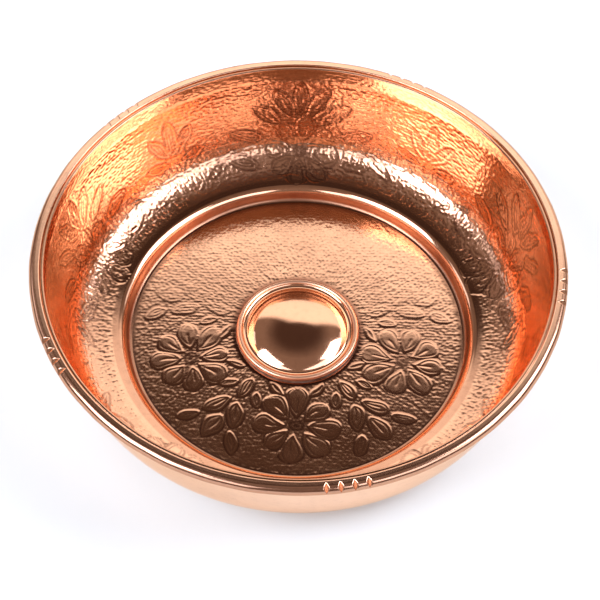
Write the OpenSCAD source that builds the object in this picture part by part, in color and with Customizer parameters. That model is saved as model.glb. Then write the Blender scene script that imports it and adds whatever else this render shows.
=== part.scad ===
// Shallow copper bath bowl with a sunken floor, a notched rim bead and a soldered boss.
// The bowl stands on z = 0 and its axis is the z axis.

/* [Bowl] */
// Diameter over the rim bead
rim_d = 190; // [178:1:206]
// Height from the table to the top of the rim bead
bowl_h = 50; // [45:1:56]
// Thickness of the bowl's copper sheet
sheet_t = 1.4; // [1:0.1:1.8]

/* [Floor] */
// Diameter of the ridge round the sunken floor
ridge_d = 130; // [118:1:138]
// Rise from the floor to the ridge
step_h = 5.2; // [4.6:0.1:6.2]
// Slope of the step between floor and ridge, degrees from level
step_slope = 74; // [64:1:78]
// Radius of the hollow fillet at the edge of the floor
floor_fillet_r = 1.8; // [1.2:0.1:2.4]
// Radius of the rounded ridge
ridge_round_r = 2.4; // [2.2:0.1:3]

/* [Wall] */
// Slope of the cove just outside the ridge, degrees from level
cove_slope = 10; // [6:1:18]
// Length over which the cove holds that slope
cove_reach = 18; // [14:0.5:20]
// Slope of the wall where it bends into the collar, degrees from level
wall_slope = 77; // [72:1:82]
// Length over which the wall holds that slope
wall_reach = 28; // [22:0.5:30]
// Radius of the bend between the wall and the upright collar
collar_bend_r = 8; // [5:0.5:12]
// Plain length of collar left below the solder
collar_run = 0.5; // [0.2:0.1:1.5]
// Rounding of the sheet's cut edge
edge_round_r = 0.45; // [0.2:0.05:0.48]

/* [Rim bead] */
// Height of the bead's D-shaped section, and the diameter of its round nose
bead_d = 4.5; // [3.8:0.1:5.2]
// How far the bead stands out from the collar
bead_w = 3.9; // [3.4:0.1:4.8]
// Drop of the sheet's cut edge below the top of the bead
edge_drop = 0.7; // [0.5:0.1:1.2]
// Length of the solder down the collar below the bead
rim_solder_leg = 1.5; // [1:0.1:2]
// Width of the solder under the bead
rim_solder_w = 1.2; // [0.8:0.1:1.5]

/* [Notches] */
// Groups of notches round the bead
notch_groups = 5; // [3:1:8]
// Notches in a group
notch_count = 4; // [2:1:6]
// Distance between notches, along the bead
notch_pitch = 4.6; // [3.4:0.1:5.4]
// Depth of a notch
notch_depth = 1; // [0.6:0.05:1.2]
// Width of a notch at the bead's surface
notch_w = 1.8; // [1:0.1:2.2]
// Bearing of the first group, degrees from the x axis
notch_bearing = -7.5; // [-36:0.5:36]
// Direction that the file cuts into the bead from, degrees above level
notch_lean = 52; // [40:1:65]

/* [Boss] */
// Diameter over the wire ring round the boss
boss_d = 46; // [42:0.5:52]
// Diameter of the ring's wire
ring_wire_d = 2.2; // [1.8:0.1:2.8]
// Radius of the dome's crown
crown_r = 50; // [42:1:64]
// Radius of the dome's shoulder
shoulder_r = 12; // [9:0.5:15]
// Slope of the dome where its shoulder meets the hollow, degrees from level
dome_slope = 40; // [32:1:46]
// Thickness of the boss's sheet
cap_t = 1; // [0.6:0.1:1.2]
// Radius of the hollow between the dome and the wire
hollow_r = 1.5; // [1.3:0.1:2]
// Distance from the hollow's lowest circle to the edge of the flange
hollow_run = 1.1; // [0.8:0.05:1.2]
// Clearance between the flange's edge and the wire
flange_gap = 0.05; // [0.02:0.01:0.15]
// Thickness of the solder under the wire
solder_t = 0.15; // [0.1:0.05:0.3]
// Height of the solder bed that the wire lies in
solder_h = 0.7; // [0.5:0.05:0.9]
// Width of the solder's toe outside the wire
solder_toe = 0.3; // [0.1:0.05:0.6]

/* [Hidden] */
$fn = 180;

copper = "#b4673f";
worn_copper = "#9c5a3c";
solder_grey = "#8d7f74";
arc_steps = 8;
sweep_steps = 20;

// Rim: the bead's centre, the collar it lies on and the solder under it
bead_r = bead_d / 2;
bead_cr = rim_d / 2 - bead_r;
bead_cz = bowl_h - bead_r;
bead_low_z = bowl_h - bead_d;
collar_r = rim_d / 2 - bead_w;
collar_in_r = collar_r - sheet_t;
edge_z = bowl_h - edge_drop;
solder_z = bead_low_z - rim_solder_leg;
collar_z = solder_z - collar_run;

// Floor: the sharp corners that its fillet and its ridge round off
floor_z = sheet_t;
ridge_r = ridge_d / 2;
ridge_z = floor_z + step_h;
floor_corner_r = ridge_r - step_h / tan(step_slope);
floor_end_r = floor_corner_r - floor_fillet_r * tan(step_slope / 2);
ridge_tangent = ridge_round_r * tan((step_slope - cove_slope) / 2);

// Boss: the wire's centre, the flange's edge and the centres of the dome's arcs
wire_r = ring_wire_d / 2;
wire_cr = boss_d / 2 - wire_r;
wire_cz = floor_z + solder_t + wire_r;
flange_r = wire_cr - wire_r - flange_gap;
hollow_cr = flange_r - hollow_run;
hollow_cz = floor_z + cap_t + hollow_r;
shoulder_cr = hollow_cr - (hollow_r + shoulder_r) * sin(dome_slope);
shoulder_cz = hollow_cz - (hollow_r + shoulder_r) * cos(dome_slope);
crown_slope = asin(shoulder_cr / (crown_r - shoulder_r));
crown_cz = shoulder_cz - (crown_r - shoulder_r) * cos(crown_slope);

// A station is a point of the sheet's upper face and the slope there: [radius, height, degrees].
// Stations along an arc between two slopes. A negative radius gives a crest, a positive one a hollow.
function arc(centre, r, from, to) =
  [for (i = [0:arc_steps])
    let (slope = from + (to - from) * i / arc_steps)
    [centre[0] + r * sin(slope), centre[1] - r * cos(slope), slope]];

// Stations inside a cubic sweep between two stations, with the lengths that hold the end slopes
function sweep(start, start_reach, end, end_reach) =
  let (p0 = [start[0], start[1]])
  let (p3 = [end[0], end[1]])
  let (p1 = p0 + start_reach * [cos(start[2]), sin(start[2])])
  let (p2 = p3 - end_reach * [cos(end[2]), sin(end[2])])
  [for (i = [1:sweep_steps - 1])
    let (t = i / sweep_steps)
    let (u = 1 - t)
    let (p = u ^ 3 * p0 + 3 * u ^ 2 * t * p1 + 3 * u * t ^ 2 * p2 + t ^ 3 * p3)
    let (d = u ^ 2 * (p1 - p0) + 2 * u * t * (p2 - p1) + t ^ 2 * (p3 - p2))
    [p[0], p[1], atan2(d[1], d[0])]];

// Points along the rounded corner of the sheet's cut edge
function edge_corner(r, from, to) =
  [for (i = [0:arc_steps])
    let (a = from + (to - from) * i / arc_steps)
    [r, edge_z - edge_round_r] + edge_round_r * [cos(a), sin(a)]];

// Upper face of the sheet from the axis to the top of the collar
floor_fillet = arc([floor_end_r, floor_z + floor_fillet_r], floor_fillet_r, 0, step_slope);
ridge_end = [ridge_r, ridge_z] + ridge_tangent * [cos(cove_slope), sin(cove_slope)];
ridge_centre = ridge_end + ridge_round_r * [sin(cove_slope), -cos(cove_slope)];
ridge = arc(ridge_centre, -ridge_round_r, step_slope, cove_slope);
collar_bend = arc([collar_in_r - collar_bend_r, collar_z], collar_bend_r, wall_slope, 90);
wall = sweep(ridge[arc_steps], cove_reach, collar_bend[0], wall_reach);
stations = concat([[0, floor_z, 0]], floor_fillet, ridge, wall, collar_bend);
last = len(stations) - 1;

// Section of the sheet: its upper face, the rounded cut edge and its lower face, one thickness away
module sheet_section() {
  upper = [for (s = stations) [s[0], s[1]]];
  lower = [for (i = [last:-1:0])
    let (s = stations[i])
    [s[0] + sheet_t * sin(s[2]), s[1] - sheet_t * cos(s[2])]];
  inner_corner = edge_corner(collar_in_r + edge_round_r, 180, 90);
  outer_corner = edge_corner(collar_r - edge_round_r, 90, 0);
  polygon(concat(upper, inner_corner, outer_corner, lower));
}

// D-shaped section of the bead: flat on the collar, above and below, with a round nose
module bead_section() {
  flat_w = bead_cr - collar_r;
  translate([collar_r, bead_low_z]) square([flat_w, bead_d]);
  intersection() {
    translate([bead_cr, bead_cz]) circle(bead_r);
    translate([bead_cr, bead_low_z]) square([bead_r, bead_d]);
  }
}

// Round section of the wire ring
module wire_circle() {
  translate([wire_cr, wire_cz]) circle(wire_r);
}

// V-shaped file cut straight across the bead's upper, outer side
module notch() {
  translate([bead_cr, 0, bead_cz])
    rotate([0, -notch_lean, 0])
      translate([bead_r - notch_depth, 0, 0])
        linear_extrude(2 * bead_d, center = true)
          polygon([[0, 0], [2 * notch_depth, -notch_w], [2 * notch_depth, notch_w]]);
}

// Notches in groups, each group centred on its bearing
module notches() {
  pitch_angle = notch_pitch / bead_cr * 180 / PI;
  for (group = [0:notch_groups - 1], i = [0:notch_count - 1])
    rotate(notch_bearing + group * 360 / notch_groups + (i - (notch_count - 1) / 2) * pitch_angle)
      notch();
}

// One raised sheet: sunken floor, ridge, cove, leaning wall and upright collar
module bowl_shell() {
  color(copper) rotate_extrude() sheet_section();
}

// D-shaped wire round the collar, its flat against the sheet
module rim_bead() {
  color(worn_copper)
    difference() {
      rotate_extrude() bead_section();
      notches();
    }
}

// Solder in the corner between the collar and the underside of the bead
module rim_solder() {
  color(solder_grey)
    rotate_extrude()
      polygon([[collar_r, bead_low_z], [collar_r, solder_z], [collar_r + rim_solder_w, bead_low_z]]);
}

// One face of the boss's sheet, set in by a depth below its upper face: crown, shoulder and hollow
function boss_face(depth) =
  let (edge_slope = asin(hollow_run / (hollow_r + depth)))
  concat(
    arc([0, crown_cz], depth - crown_r, 0, -crown_slope),
    arc([shoulder_cr, shoulder_cz], depth - shoulder_r, -crown_slope, -dome_slope),
    arc([hollow_cr, hollow_cz], hollow_r + depth, -dome_slope, edge_slope)
  );

// Hollow dome struck from thin sheet, with a dished flange that lies on the floor
module boss_cap() {
  upper = [for (s = boss_face(0)) [s[0], s[1]]];
  lower = [for (s = boss_face(cap_t)) [s[0], s[1]]];
  color(copper)
    rotate_extrude()
      polygon(concat(upper, [for (i = [len(lower) - 1:-1:0]) lower[i]]));
}

// Wire ring round the flange
module boss_ring() {
  color(worn_copper) rotate_extrude() wire_circle();
}

// Solder between the floor, the flange's edge and the wire
module boss_solder() {
  bed_top = floor_z + solder_h;
  color(solder_grey)
    rotate_extrude()
      difference() {
        polygon([
          [flange_r, floor_z],
          [wire_cr + wire_r + solder_toe, floor_z],
          [wire_cr + wire_r, bed_top],
          [flange_r, bed_top]
        ]);
        wire_circle();
      }
}

bowl_shell();
rim_bead();
rim_solder();
boss_cap();
boss_ring();
boss_solder();
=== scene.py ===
"""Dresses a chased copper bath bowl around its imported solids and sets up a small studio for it."""

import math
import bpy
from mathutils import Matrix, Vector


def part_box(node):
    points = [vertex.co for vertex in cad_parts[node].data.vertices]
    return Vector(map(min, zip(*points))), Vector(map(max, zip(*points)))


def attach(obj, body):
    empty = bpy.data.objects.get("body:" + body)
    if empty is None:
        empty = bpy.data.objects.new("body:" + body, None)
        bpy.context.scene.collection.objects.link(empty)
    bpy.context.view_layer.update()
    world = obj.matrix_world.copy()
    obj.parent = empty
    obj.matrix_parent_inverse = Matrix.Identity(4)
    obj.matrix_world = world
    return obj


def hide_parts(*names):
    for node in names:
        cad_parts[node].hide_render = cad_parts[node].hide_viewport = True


bl_info = {
    "name": "Copper Bath Bowl",
    "version": (1, 0, 0),
    "blender": (4, 5, 0),
    "location": "3D View > Sidebar > Bath Bowl",
    "description": "Builds a chased copper bath bowl with a notched rim bead and a soldered boss",
    "category": "Add Mesh",
}

import bpy
import numpy as np
from bpy.props import FloatProperty, FloatVectorProperty, IntProperty, PointerProperty
from mathutils import Matrix, Vector

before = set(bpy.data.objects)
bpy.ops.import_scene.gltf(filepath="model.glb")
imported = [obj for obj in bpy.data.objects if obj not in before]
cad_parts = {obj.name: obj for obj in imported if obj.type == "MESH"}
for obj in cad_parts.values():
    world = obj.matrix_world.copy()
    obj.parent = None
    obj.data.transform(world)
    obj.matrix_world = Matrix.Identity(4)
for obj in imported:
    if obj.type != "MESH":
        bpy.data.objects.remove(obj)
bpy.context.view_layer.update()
BODY = "root"

MM = 0.001
TURN = 2 * math.pi
BEAD_LOW, BEAD_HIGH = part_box("rim_bead")
RING_LOW, RING_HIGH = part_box("boss_ring")
CAP_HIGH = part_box("boss_cap")[1]
BED_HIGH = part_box("boss_solder")[1]

# Radius and height at which the sheet is parted into the floor, the cove and the wall
FLOOR_SEAM = 62 * MM
WALL_SEAM_HEIGHT = 17 * MM
# Radius at which a lattice of marks that closes round the bowl is square
LATTICE_RADIUS = 80 * MM
# Edges bent more sharply than this show as creases
CREASE = math.radians(60)
# Columns of points round the floor, round the cove and the wall, round the boss and round the solder
FLOOR_COLUMNS = 900
SHEET_COLUMNS = 960
BOSS_COLUMNS = 300
SOLDER_COLUMNS = 480
# How far the stage's floor lies below the bowl
FLOOR_DROP = 0.05 * MM

# Leaves of half a spray on the floor, in mm: foot, tip and half-width. A point is out from the axis and to
# the side
FLOOR_SPRAY = (
    ((27, 0), (37, 0), 2.8),
    ((38.5, 1.2), (48.5, 7.2), 3.2),
    ((46, 0), (57.5, 0), 3.6),
    ((50, 6.8), (57, 13), 2.7),
    ((30.5, 4.2), (36.5, 8.6), 2.2),
    ((24.5, 5.5), (26.5, 13.5), 1.7),
)
# Leaves on one side of a flower in the cove, in the same way but up from the ridge instead of out
COVE_SPRAY = (
    ((33, 0), (49, 0), 3.2),
    ((32, 2.5), (46, 11), 2.9),
    ((29, 8), (39, 20), 2.8),
    ((23, 15.5), (28, 29), 2.8),
    ((12, 17), (17, 30), 2.6),
    ((20, 27), (12, 37), 2.2),
)
# Leaves of half a sprig between two flowers in the cove, also up from the ridge
COVE_SPRIG = (
    ((27, 0), (44, 0), 3.0),
    ((27, 1.5), (39, 9.5), 2.6),
    ((24, 3), (26, 13.5), 2.2),
)


def length(name, description, default):
    """A property for a length in metres."""
    return FloatProperty(
        name=name, description=description, default=default, unit="LENGTH", subtype="DISTANCE", precision=5
    )


def angle(name, description, degrees):
    """A property for an angle, with its default given in degrees."""
    return FloatProperty(name=name, description=description, default=math.radians(degrees), subtype="ANGLE")


def factor(name, description, default):
    """A property for a share from 0 to 1."""
    return FloatProperty(name=name, description=description, default=default, min=0, max=1, subtype="FACTOR")


def strength(name, description, default):
    """A property for a brightness, where 1 is white."""
    return FloatProperty(name=name, description=description, default=default, min=0)


def multiple(name, description, default):
    """A property for how many times as much one thing is as another."""
    return FloatProperty(name=name, description=description, default=default, min=0)


def colour(name, description, default):
    """A property for a linear colour."""
    return FloatVectorProperty(
        name=name, description=description, default=default, size=3, min=0, max=1, subtype="COLOR"
    )


class BowlSizes(bpy.types.PropertyGroup):
    """Sizes of the sheet, the bead and the boss."""

    rim_radius: length("Rim radius", "Radius over the rim bead", BEAD_HIGH.x)
    bowl_height: length("Bowl height", "Height of the rim bead's top", BEAD_HIGH.z)
    sheet: length("Sheet", "Thickness of the copper sheet", 1.4 * MM)
    ridge_radius: length("Ridge radius", "Radius of the ridge round the sunken floor", 65 * MM)
    step_height: length("Step height", "Rise from the floor to the ridge", 5.2 * MM)
    step_slope: angle("Step slope", "Slope of the step between floor and ridge", 74)
    floor_fillet: length("Floor fillet", "Radius of the hollow at the edge of the floor", 1.8 * MM)
    ridge_round: length("Ridge round", "Radius of the rounded ridge", 4 * MM)
    cove_slope: angle("Cove slope", "Slope of the cove just outside the ridge", 10)
    cove_reach: length("Cove reach", "Length over which the cove holds its slope", 18 * MM)
    wall_slope: angle("Wall slope", "Slope of the wall where it bends into the collar", 77)
    wall_reach: length("Wall reach", "Length over which the wall holds its slope", 28 * MM)
    collar_bend: length("Collar bend", "Radius between the wall and the collar", 8 * MM)
    collar_run: length("Collar run", "Plain length of collar below the solder", 0.5 * MM)
    edge_drop: length("Edge drop", "Drop of the sheet's edge below the top of the bead", 0.7 * MM)
    edge_round: length("Edge round", "Rounding of the sheet's cut edge", 0.45 * MM)
    bead_height: length("Bead height", "Height of the bead's D-shaped section", BEAD_HIGH.z - BEAD_LOW.z)
    bead_width: length("Bead width", "How far the bead stands out from the collar", 3.9 * MM)
    bead_corner: length("Bead corner", "Rounding of the bead's upper inner corner", 0.35 * MM)
    rim_solder_leg: length("Rim solder leg", "Length of the solder down the collar", 1.5 * MM)
    rim_solder_width: length("Rim solder width", "Width of the solder under the bead", 1.2 * MM)
    notch_groups: IntProperty(name="Notch groups", description="Groups of notches", default=5, min=1)
    notch_count: IntProperty(name="Notches", description="Notches in a group", default=4, min=1)
    notch_pitch: length("Notch pitch", "Distance between notches", 4.6 * MM)
    notch_depth: length("Notch depth", "Depth of a notch", 1 * MM)
    notch_width: length("Notch width", "Width of a notch at the bead's surface", 1.8 * MM)
    notch_bearing: angle("Notch bearing", "Bearing of the first group", -7.5)
    notch_lean: angle("Notch lean", "Direction that the file cuts from, above level", 52)
    boss_radius: length("Boss radius", "Radius over the wire ring", RING_HIGH.x)
    wire_diameter: length("Wire diameter", "Diameter of the ring's wire", RING_HIGH.z - RING_LOW.z)
    wire_low: length("Wire height", "Height of the underside of the wire", RING_LOW.z)
    flange_radius: length("Flange radius", "Radius of the boss's flange", CAP_HIGH.x)
    cap_sheet: length("Boss sheet", "Thickness of the boss's sheet", 1 * MM)
    crown_radius: length("Crown radius", "Radius of the dome's crown", 50 * MM)
    shoulder_radius: length("Shoulder radius", "Radius of the dome's shoulder", 12 * MM)
    dome_slope: angle("Dome slope", "Slope where the dome's shoulder meets the hollow", 40)
    hollow_radius: length("Hollow radius", "Radius of the hollow between the dome and the wire", 1.5 * MM)
    hollow_run: length("Hollow run", "From the hollow's lowest circle to the flange's edge", 1.1 * MM)
    bed_top: length("Solder bed top", "Height of the solder under the wire", BED_HIGH.z)
    bed_radius: length("Solder bed radius", "Outer radius of the solder under the wire", BED_HIGH.x)


class ChasingSizes(bpy.types.PropertyGroup):
    """Sizes of the chased flowers, leaves and matted ground."""

    flowers: IntProperty(name="Flowers", description="Flowers round the floor", default=5, min=3)
    floor_bearing: angle("Floor bearing", "Bearing of the first flower on the floor", -18)
    flower_radius: length("Flower place", "Distance of the floor's flowers from the axis", 41.5 * MM)
    petals: IntProperty(name="Petals", description="Petals of a flower", default=8, min=3)
    petal_start: length("Petal start", "Distance of a petal's foot from the flower's centre", 3.4 * MM)
    petal_length: length("Petal length", "Length of a petal", 12 * MM)
    petal_width: length("Petal width", "Half the width of a petal", 4.4 * MM)
    line_width: length("Line width", "Half the width of a chased line", 0.45 * MM)
    line_depth: length("Line depth", "Depth of a chased line", 0.06 * MM)
    inner_line: factor("Inner line", "Depth of the line inside a petal beside its outline's", 0.6)
    inner_gap: length("Inner gap", "Distance of the line inside a petal from its outline", 1.5 * MM)
    pillow: length("Pillow", "Height of a petal's crown", 0.02 * MM)
    ground_depth: length("Ground depth", "Depth of the matted ground", 0.03 * MM)
    mark_pitch: length("Mark pitch", "Distance between the matting punch's marks", 1.3 * MM)
    mark_depth: length("Mark depth", "Depth of a punch mark", 0.06 * MM)
    wobble: length("Wobble", "How far the hand strays from the drawing", 0.6 * MM)
    hammer_pitch: length("Hammer pitch", "Distance between planishing marks", 7 * MM)
    hammer_depth: length("Hammer depth", "Depth of a planishing mark", 0.03 * MM)
    cove_bearing: angle("Cove bearing", "Bearing of the first flower in the cove", 18)
    wall_marks: multiple("Wall marks", "Depth of the wall's marks beside the floor's", 2.6)
    cove_marks: multiple("Cove marks", "Depth of the cove's marks beside the floor's", 5.6)
    # Fades the drawing, its tarnish and its marks on the far half: painted light standing in for the bright
    # backdrop reflected there.
    far_fade: factor("Wear", "How far use has worn the drawing on the far half of the floor", 0.92)
    cove_flower: length("Cove flower place", "Distance of the cove's flowers up from the ridge", 17 * MM)


class CopperFinish(bpy.types.PropertyGroup):
    """Colours and gloss of the metals."""

    copper: colour("Copper", "Polished copper", (0.93, 0.50, 0.31))
    # Paler copper for the bowl's outside: a painted reflection of the white floor.
    outside: colour("Outside copper", "Copper of the bowl's outside, rubbed pale", (0.93, 0.7, 0.58))
    copper_edge: colour("Copper at a glance", "Tint of copper seen at a low angle", (1.0, 0.78, 0.6))
    # Dark copper for tarnish in the chased lines, marks and clouds, and for painted shade in the step's
    # hollow, outside the ridge, round the boss and on the bead's nose.
    tarnish_and_shade: colour("Tarnish", "Copper darkened in recesses", (0.2, 0.07, 0.04))
    bead: colour("Bead copper", "Copper of the rim bead", (0.92, 0.52, 0.34))
    solder: colour("Solder", "Bright solder", (0.56, 0.50, 0.45))
    solder_dull: colour("Dull solder", "Solder where it has dulled", (0.20, 0.15, 0.12))
    polish: factor("Polish", "Roughness of polished copper", 0.065)
    matt: factor("Matt", "Roughness of the matted ground", 0.19)


class StudioSettings(bpy.types.PropertyGroup):
    """The camera, the floor and the lights."""

    camera_distance: length("Camera distance", "Distance from the middle of the rim", 0.5568)
    camera_elevation: angle("Camera elevation", "Height of the camera above the rim", 53.01)
    camera_pitch: angle("Camera pitch", "How far the camera looks down", 54.57)
    camera_yaw: angle("Camera yaw", "How far the camera turns to the right", 0.12)
    camera_roll: angle("Camera roll", "How far the camera leans to the left", 1.13)
    camera_lens: FloatProperty(name="Lens", description="Focal length", default=94.4, unit="CAMERA")
    floor_radius: length("Floor radius", "Radius of the floor", 4.0)
    floor_colour: colour("Floor", "Pale floor", (0.89, 0.91, 0.9))
    floor_mottle: colour("Floor mottle", "Faint clouds on the floor", (0.86, 0.88, 0.9))
    fade_start: length("Fade start", "Distance at which the floor starts to fade into the white", 0.25)
    fade_end: length("Fade end", "Distance at which the floor is white", 0.8)
    floor_glow: strength("Floor glow", "Brightness that lifts the floor to white", 0.1)
    room: colour("Room", "Dim room round the bowl", (0.262, 0.209, 0.182))
    shade: colour("Shade", "Dark ceiling above the backdrop", (0.072, 0.047, 0.038))
    shade_height: angle("Shade height", "Height of the middle of the dark ceiling", 65)
    shade_inner: angle("Shade inner", "Angle from its middle at which the dark ceiling is darkest", 13)
    shade_outer: angle("Shade outer", "Angle from its middle at which the dark ceiling ends", 28)
    backdrop: colour("Backdrop", "White backdrop behind the bowl", (1.0, 0.98, 0.96))
    backdrop_strength: strength("Backdrop brightness", "Brightness of the backdrop", 1.5)
    backdrop_top: angle("Backdrop top", "Height of the backdrop's top edge", 55)
    backdrop_bearing: angle("Backdrop bearing", "Bearing of the middle of the backdrop", 84)
    backdrop_half: angle("Backdrop half-width", "Half the angle that the backdrop spans", 43)
    backdrop_shoulder: angle("Backdrop shoulder", "Height above which the backdrop narrows", 33)
    backdrop_taper: multiple("Backdrop taper", "How fast the backdrop narrows above its shoulder", 0.9)
    softbox_distance: length("Softbox distance", "Distance of each softbox", 1.0)
    daylight: colour("Daylight", "Colour of the softboxes and the panels", (0.78, 0.86, 1.0))
    softbox_strength: strength("Softbox brightness", "Brightness of each softbox", 8.3)
    left_bearing: angle("Left softbox bearing", "Bearing of the left softbox", 206)
    left_elevation: angle("Left softbox height", "Height of the left softbox", 43)
    left_width: length("Left softbox width", "Width of the left softbox", 0.66)
    left_height: length("Left softbox side", "Length of the left softbox's upright side", 0.54)
    right_bearing: angle("Right softbox bearing", "Bearing of the right softbox", 3)
    right_elevation: angle("Right softbox height", "Height of the right softbox", 43)
    right_width: length("Right softbox width", "Width of the right softbox", 0.6)
    right_height: length("Right softbox side", "Length of the right softbox's upright side", 0.56)
    low_strength: strength("Low panel brightness", "Brightness of the low panels beside the camera", 2.95)
    low_elevation: angle("Low panel height", "Height of the low panels", 35)
    low_width: length("Low panel width", "Width of the low panels", 0.9)
    low_height: length("Low panel side", "Length of the low panels' upright side", 0.4)
    low_left_bearing: angle("Low left bearing", "Bearing of the low panel on the left", 228)
    low_right_bearing: angle("Low right bearing", "Bearing of the low panel on the right", 316)
    fill_strength: strength("Fill brightness", "Brightness of the small fill panels", 1.47)
    fill_left_bearing: angle("Fill left bearing", "Bearing of the small fill panel on the left", 159)
    fill_right_bearing: angle("Fill right bearing", "Bearing of the small fill panel on the right", 23)
    fill_elevation: angle("Fill height", "Height of the small fill panels", 26)
    fill_width: length("Fill width", "Width of the small fill panels", 0.34)
    fill_height: length("Fill side", "Length of the small fill panels' upright side", 0.26)


def ease(low, high, value):
    """Smooth step: 0 below low, 1 above high and the cubic 3t² - 2t³ between them."""
    t = np.clip((value - low) / (high - low), 0, 1)
    return t * t * (3 - 2 * t)


def bell(distance, width):
    """Bell curve: exp(-(distance / width)²), which is 1 at no distance."""
    return np.exp(-((distance / width) ** 2))


def blend(first, second, share):
    """A value between two others: first + (second - first) share."""
    return first + (second - first) * share


def folded(bearing, share):
    """A bearing folded into one share of the turn, from -share / 2 to share / 2."""
    return (bearing + share / 2) % share - share / 2


def share_number(bearing, share, count):
    """Which share of the turn a bearing lies in, from 0 to count - 1."""
    return np.floor((bearing + share / 2) / share) % count


def bearings(columns):
    """Evenly spaced bearings of a grid's columns, as one row."""
    return np.linspace(0, TURN, columns, endpoint=False)[None, :]


def arc(centre, radius, start, end, steps):
    """Points at a radius round a centre, from one angle to another: centre + radius (cos, sin)."""
    turn = np.linspace(start, end, steps)
    return np.stack([centre[0] + radius * np.cos(turn), centre[1] + radius * np.sin(turn)], axis=1)


def straight(start, end, steps):
    """Points on a straight line, evenly spaced: (1 - t) start + t end."""
    t = np.linspace(0, 1, steps)[:, None]
    return (1 - t) * np.asarray(start) + t * np.asarray(end)


class Rim:
    """Places of the bead, the collar and the solder, worked out from the bowl's sizes."""

    def __init__(self, sizes):
        self.nose_r = sizes.bead_height / 2
        self.centre = np.array([sizes.rim_radius - self.nose_r, sizes.bowl_height - self.nose_r])
        self.low_z = sizes.bowl_height - sizes.bead_height
        self.collar_r = sizes.rim_radius - sizes.bead_width
        self.collar_in_r = self.collar_r - sizes.sheet
        self.edge_z = sizes.bowl_height - sizes.edge_drop
        self.solder_z = self.low_z - sizes.rim_solder_leg
        self.collar_z = self.solder_z - sizes.collar_run


class SheetPath:
    """The sheet's upper face as a path: length along it, radius, height and slope."""

    def __init__(self, sizes):
        """Joins the flat floor, a hollow arc, a straight step, a crest arc, a cubic wall, a bend and the
        collar. The cubic's end slopes are held over the cove's reach and the wall's reach."""
        self.sheet = sizes.sheet
        self.rim = Rim(sizes)
        steps = 80
        floor_z = sizes.sheet
        ridge_z = floor_z + sizes.step_height
        floor_corner_r = sizes.ridge_radius - sizes.step_height / math.tan(sizes.step_slope)
        self.floor_end = floor_corner_r - sizes.floor_fillet * math.tan(sizes.step_slope / 2)
        down = -math.pi / 2
        fillet = arc((self.floor_end, floor_z + sizes.floor_fillet), sizes.floor_fillet, down,
                     down + sizes.step_slope, steps)
        along_cove = np.array([math.cos(sizes.cove_slope), math.sin(sizes.cove_slope)])
        off_cove = np.array([along_cove[1], -along_cove[0]])
        tangent = sizes.ridge_round * math.tan((sizes.step_slope - sizes.cove_slope) / 2)
        ridge_end = np.array([sizes.ridge_radius, ridge_z]) + tangent * along_cove
        ridge_centre = ridge_end + sizes.ridge_round * off_cove
        ridge = arc(ridge_centre, sizes.ridge_round, math.pi / 2 + sizes.step_slope,
                    math.pi / 2 + sizes.cove_slope, steps)
        bend_centre = (self.rim.collar_in_r - sizes.collar_bend, self.rim.collar_z)
        bend = arc(bend_centre, sizes.collar_bend, down + sizes.wall_slope, 0, steps)
        along_wall = np.array([math.cos(sizes.wall_slope), math.sin(sizes.wall_slope)])
        t = np.linspace(0, 1, 6 * steps)[:, None]
        wall = (
            (1 - t) ** 3 * ridge_end
            + 3 * (1 - t) ** 2 * t * (ridge_end + sizes.cove_reach * along_cove)
            + 3 * (1 - t) * t**2 * (bend[0] - sizes.wall_reach * along_wall)
            + t**3 * bend[0]
        )
        collar_top = (self.rim.collar_in_r, self.rim.edge_z - sizes.edge_round)
        points = np.concatenate([
            straight((0, floor_z), fillet[0], steps)[:-1],
            fillet,
            straight(fillet[-1], ridge[0], steps)[1:-1],
            ridge,
            wall[1:-1],
            bend,
            straight(bend[-1], collar_top, steps)[1:],
        ])
        step = np.hypot(*np.diff(points, axis=0).T)
        self.length = np.concatenate([[0], np.cumsum(step)])
        self.radius, self.height = points.T
        self.slope = np.arctan2(np.gradient(self.height, self.length), np.gradient(self.radius, self.length))
        self.ridge = float(np.interp(sizes.ridge_radius, self.radius, self.length))
        self.end = self.length[-1]

    def at(self, along):
        """Radius, height and slope at these lengths along the path."""
        return [np.interp(along, self.length, values) for values in (self.radius, self.height, self.slope)]

    def raised(self, along, lift):
        """Radius and height when lifted along the normal: (r, z) + lift (-sin slope, cos slope)."""
        radius, height, slope = self.at(along)
        lift = np.asarray(lift)
        if lift.ndim == 2:
            radius, height, slope = radius[:, None], height[:, None], slope[:, None]
        return radius - lift * np.sin(slope), height + lift * np.cos(slope)

    def underside(self, along):
        """The sheet's lower face: the upper face moved one thickness against its normal."""
        return np.stack(self.raised(along, np.full(len(along), -self.sheet)), axis=1)


def scattered(column, row, salt):
    """A fixed number from 0 to 1 for each cell: the fraction of a large multiple of a sine."""
    value = np.sin(column * 12.9898 + row * 78.233 + salt * 37.719) * 43758.5453
    return value - np.floor(value)


def strayed(amount, column, row, salt):
    """A fixed number for each cell, from -amount / 2 to amount / 2."""
    return amount * (scattered(column, row, salt) - 0.5)


def dents(across, along, pitch, spread, cells_round=0):
    """Dents of a hand-held punch or hammer, from 0 to 1: bells of a spread on a lattice whose points stray
    by up to a third of the pitch. cells_round closes the lattice on itself round the bowl."""
    looseness = 0.66
    weakest = 0.6
    column = np.floor(across / pitch)
    row = np.floor(along / pitch)
    deepest = np.zeros_like(across)
    for step_across in (-1, 0, 1):
        for step_along in (-1, 0, 1):
            cell = column + step_across
            line = row + step_along
            key = cell % cells_round if cells_round else cell
            centre_across = (cell + 0.5 + strayed(looseness, key, line, 1)) * pitch
            centre_along = (line + 0.5 + strayed(looseness, key, line, 2)) * pitch
            strike = blend(weakest, 1, scattered(key, line, 3))
            gap = np.hypot(across - centre_across, along - centre_along)
            deepest = np.maximum(deepest, strike * bell(gap, spread))
    return deepest


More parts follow.
